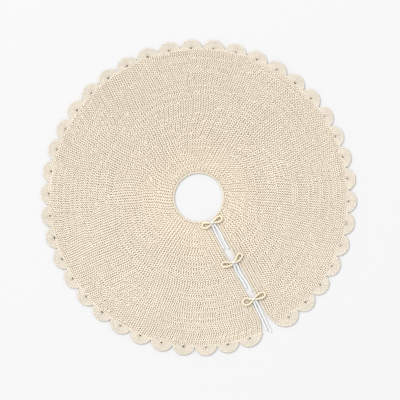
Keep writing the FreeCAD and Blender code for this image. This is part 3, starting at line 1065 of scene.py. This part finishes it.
def roll_body(line, half_width, bottom, top, sides=12):
    """A closed soft roll along a line, flat underneath."""
    line = np.array(line)
    ahead = np.gradient(line, axis=0)
    ahead /= np.linalg.norm(ahead, axis=1)[:, None]
    turns = [2 * math.pi * side / sides for side in range(sides)]
    return skinned([
        [(x - dy * half_width * math.cos(turn), y + dx * half_width * math.cos(turn),
          (top + bottom) / 2 + (top - bottom) / 2 * math.sin(turn)) for turn in turns]
        for (x, y), (dx, dy) in zip(line, ahead)])


BAND_NODES = {"back": "edge_band_back", "front_left": "edge_band_left",
              "front_right": "edge_band_right"}
rolls = place_parts("edge_roll", roll_body(edge_middle, ROLL_HALF_WIDTH, ROLL_BOTTOM, ROLL_TOP),
                    EDGE_YARN, BAND_NODES)

# %% Chain the edge and the rim
edge_rows = [(x, y, heading + math.pi / 2, BAND_WIDTH, width)
             for x, y, heading, length, width in along_line(edge_middle, 8.0 * MM)]
edge_chain = knit_rows("edge_chain", edge_rows, {
    "Yarn Radius": 2.0 * MM, "Arc Length": 0.36, "Arc Reach": 0.28, "Root": 0.04, "High": 5.2 * MM,
    "Twin Shift": 0.0, "Looseness": 0.05, "Yarn": EDGE_YARN})

SEAM_RADIUS = RIM_RADIUS - 1 * MM
rim_edge = slit_angle(SEAM_RADIUS, 6 * MM)
rim_line = []
for step in range(721):
    angle = -math.pi / 2 + rim_edge + (2 * math.pi - 2 * rim_edge) * step / 720
    rim_line.append((SEAM_RADIUS * math.cos(angle), SEAM_RADIUS * math.sin(angle)))
rim_chain = knit_rows("rim_chain", along_line(rim_line, 8.4 * MM), {
    "Yarn Radius": 1.6 * MM, "Arc Length": 0.20, "Arc Reach": 0.24, "Root": 0.02, "Sweep": 1.75,
    "Low": 2.6 * MM, "High": 4.8 * MM, "Twin Shift": 0.0, "Twin Drop": 0.0, "Looseness": 0.07,
    "Seed": 11, "Yarn": CLOTH_YARN})

# %% [markdown]
# ## Shells on the rim
#
# Each shell is crocheted into one stitch of the rim: rows of stitches fan out from a small hole at
# its base, and a last chain closes its curved edge. One shell copied round would repeat the same
# loose stitches, so every shell is worked on its own, from the frame's outline. The two at the slit
# reach on to its mouth, and the four at the fold go with the fold strip rather than a half.

# %% Trace a shell
SHELL_STEP = 2 * math.pi / SCALLOP_STEPS
SHELL_GAP = 0.6 * MM
SHELL_HOLE = 4 * MM
SHELL_ROWS = 5
SHELL_SHAPE = ((0.97, 0.6), (1.0, 1.9), (0.985, 3.0), (0.94, 3.7), (0.84, 4.2), (0.55, 4.2),
               (0.3, 4.1), (0.16, 3.7), (0.085, 1.6), (0.06, 1.2))


def polar(radius, angle):
    return np.array((radius * math.cos(angle), radius * math.sin(angle)))


def shell_outline(angle, before, after):
    """The curved edge of a shell: from one flank over the tip to the other."""
    axis, side = polar(1, angle), polar(1, angle + math.pi / 2)
    tip = polar(RIM_RADIUS + SCALLOP_DEPTH, angle)
    line = []
    for way, reach in ((-1, before), (1, after)):
        flank = polar(RIM_RADIUS, angle + way * reach) - tip
        rise, run = -flank @ axis, abs(flank @ side)
        radius = (run ** 2 + rise ** 2) / (2 * rise)
        sweep = math.atan2(run, radius - rise)
        half = [tip - axis * radius * (1 - math.cos(turn)) + side * way * radius * math.sin(turn)
                for turn in np.linspace(sweep, 0, 13)]
        line += half if way < 0 else half[-2::-1]
    return np.array(line)


def shell_body(outline, base, angle, before, after):
    """The closed, softly domed body of a shell, with the small hole at its base."""
    foot = [polar(RIM_RADIUS + 0.1 * MM, angle + turn)
            for turn in np.linspace(after, -before, 9)[1:-1]]
    ring = np.vstack([outline, foot]) - base
    body = skinned([[(*(base + spot * share), height * MM) for spot in ring]
                    for share, height in SHELL_SHAPE])
    for face in body.faces:
        face.smooth = True
    mesh = bpy.data.meshes.new("shell_body")
    body.to_mesh(mesh)
    body.free()
    # Marks the points round the small hole at the base, which the finish paints near black as shade.
    reach = np.linalg.norm(corners(mesh)[:, :2] - base, axis=1)
    hole = mesh.attributes.new("hole", "FLOAT", "POINT")
    hole.data.foreach_set("value", (reach < 0.1 * SCALLOP_DEPTH).astype(np.float32))
    mesh.materials.append(SHELL_YARN)
    return mesh


def shell_fan(outline, base, angle):
    """Chart rows that fan out from a shell's base, each as far as the outline lets it."""
    spread = outline - base
    ways = (np.arctan2(spread[:, 1], spread[:, 0]) - angle + math.pi) % (2 * math.pi) - math.pi
    reaches = np.linalg.norm(spread, axis=1)
    rows = []
    for number in range(SHELL_ROWS):
        share = (number + 1.1) / (SHELL_ROWS + 0.7)
        count = max(5, round((ways[-1] - ways[0]) * share * 37 / 6.8))
        for way in ways[0] + (ways[-1] - ways[0]) * (np.arange(count) + 0.5) / count:
            reach = float(np.interp(way, ways, reaches))
            x, y = base + polar(reach * share, angle + way)
            rows.append((x, y, angle + way, reach / SHELL_ROWS, reach * share * math.pi / count))
    return rows


print("shells every", round(math.degrees(SHELL_STEP), 3), "degrees")

# %% Crochet the shells
half_step = SHELL_STEP / 2 - SHELL_GAP / 2 / RIM_RADIUS
end_reach = SHELL_STEP - math.asin(HALF_MOUTH / RIM_RADIUS)
shells = {}
for number in range(1, SCALLOP_STEPS):
    angle = -math.pi / 2 + number * SHELL_STEP
    before = end_reach if number == 1 else half_step
    after = end_reach if number == SCALLOP_STEPS - 1 else half_step
    outline = shell_outline(angle, before, after)
    base = polar(RIM_RADIUS + SHELL_HOLE, angle)
    name = f"shell_{number:02d}"
    fan = run_tree(STITCH_TREE, "fan", chart_points(shell_fan(outline, base, angle)), {
        "Yarn Radius": 2.2 * MM, "Sides": 4, "Steps": 4, "Arc Length": 0.34, "Arc Reach": 0.32,
        "Root": 0.04, "Low": 2.4 * MM, "High": 5.4 * MM, "Twin Drop": 0.8 * MM,
        "Looseness": 0.08, "Seed": number, "Yarn": SHELL_YARN})
    edge_rows = along_line(base + (outline - base) * 0.95, 6.5 * MM)
    edge = run_tree(STITCH_TREE, "edge", chart_points(edge_rows), {
        "Yarn Radius": 1.9 * MM, "Sides": 4, "Steps": 4, "Arc Length": 0.52, "Arc Reach": 0.20,
        "Root": 0.02, "Sweep": 1.75, "Low": 3.4 * MM, "High": 5.0 * MM, "Twin Shift": 0.0,
        "Twin Drop": 0.0, "Seed": number, "Yarn": SHELL_YARN})
    mesh = joined(name, [shell_body(outline, base, angle, before, after), fan, edge])
    map_from_above(mesh)
    part = part_of_skirt(*base)
    fold = min(abs(polar(RIM_RADIUS, angle + turn)[1]) for turn in (-before, after)) < FOLD_REACH
    if fold:
        part = "fold_left" if base[0] < 0 else "fold_right"
    shell = show_piece(name, mesh, body=BODY_OF_PART.get(part), fold=fold,
                       nodes=[f"scallop_{number:02d}"])
    shells.setdefault(part, []).append(shell)
print({part: len(found) for part, found in shells.items()}, "shells,",
      sum(triangles(shell.data) for found in shells.values() for shell in found), "triangles")

# %% [markdown]
# ## The cloth's parts
#
# The cloth lies flat and is limp, which the frame can't tell from its shape. For each part of the
# sheet, its width and length are read off from above, and the edge roll, stitches, edges and shells
# that are worked on that part are gathered with it. Nothing may be stretched: the areas come from
# the sheet's own top.

for part, sheet in sheets.items():
    spots = corners(sheet.data)[:, :2].astype(float)
    width, length = spots.max(0) - spots.min(0)
    going = [rolls[part]]
    for made in (cloth_stitches, edge_chain, rim_chain, shells):
        going += made.get(part, [])
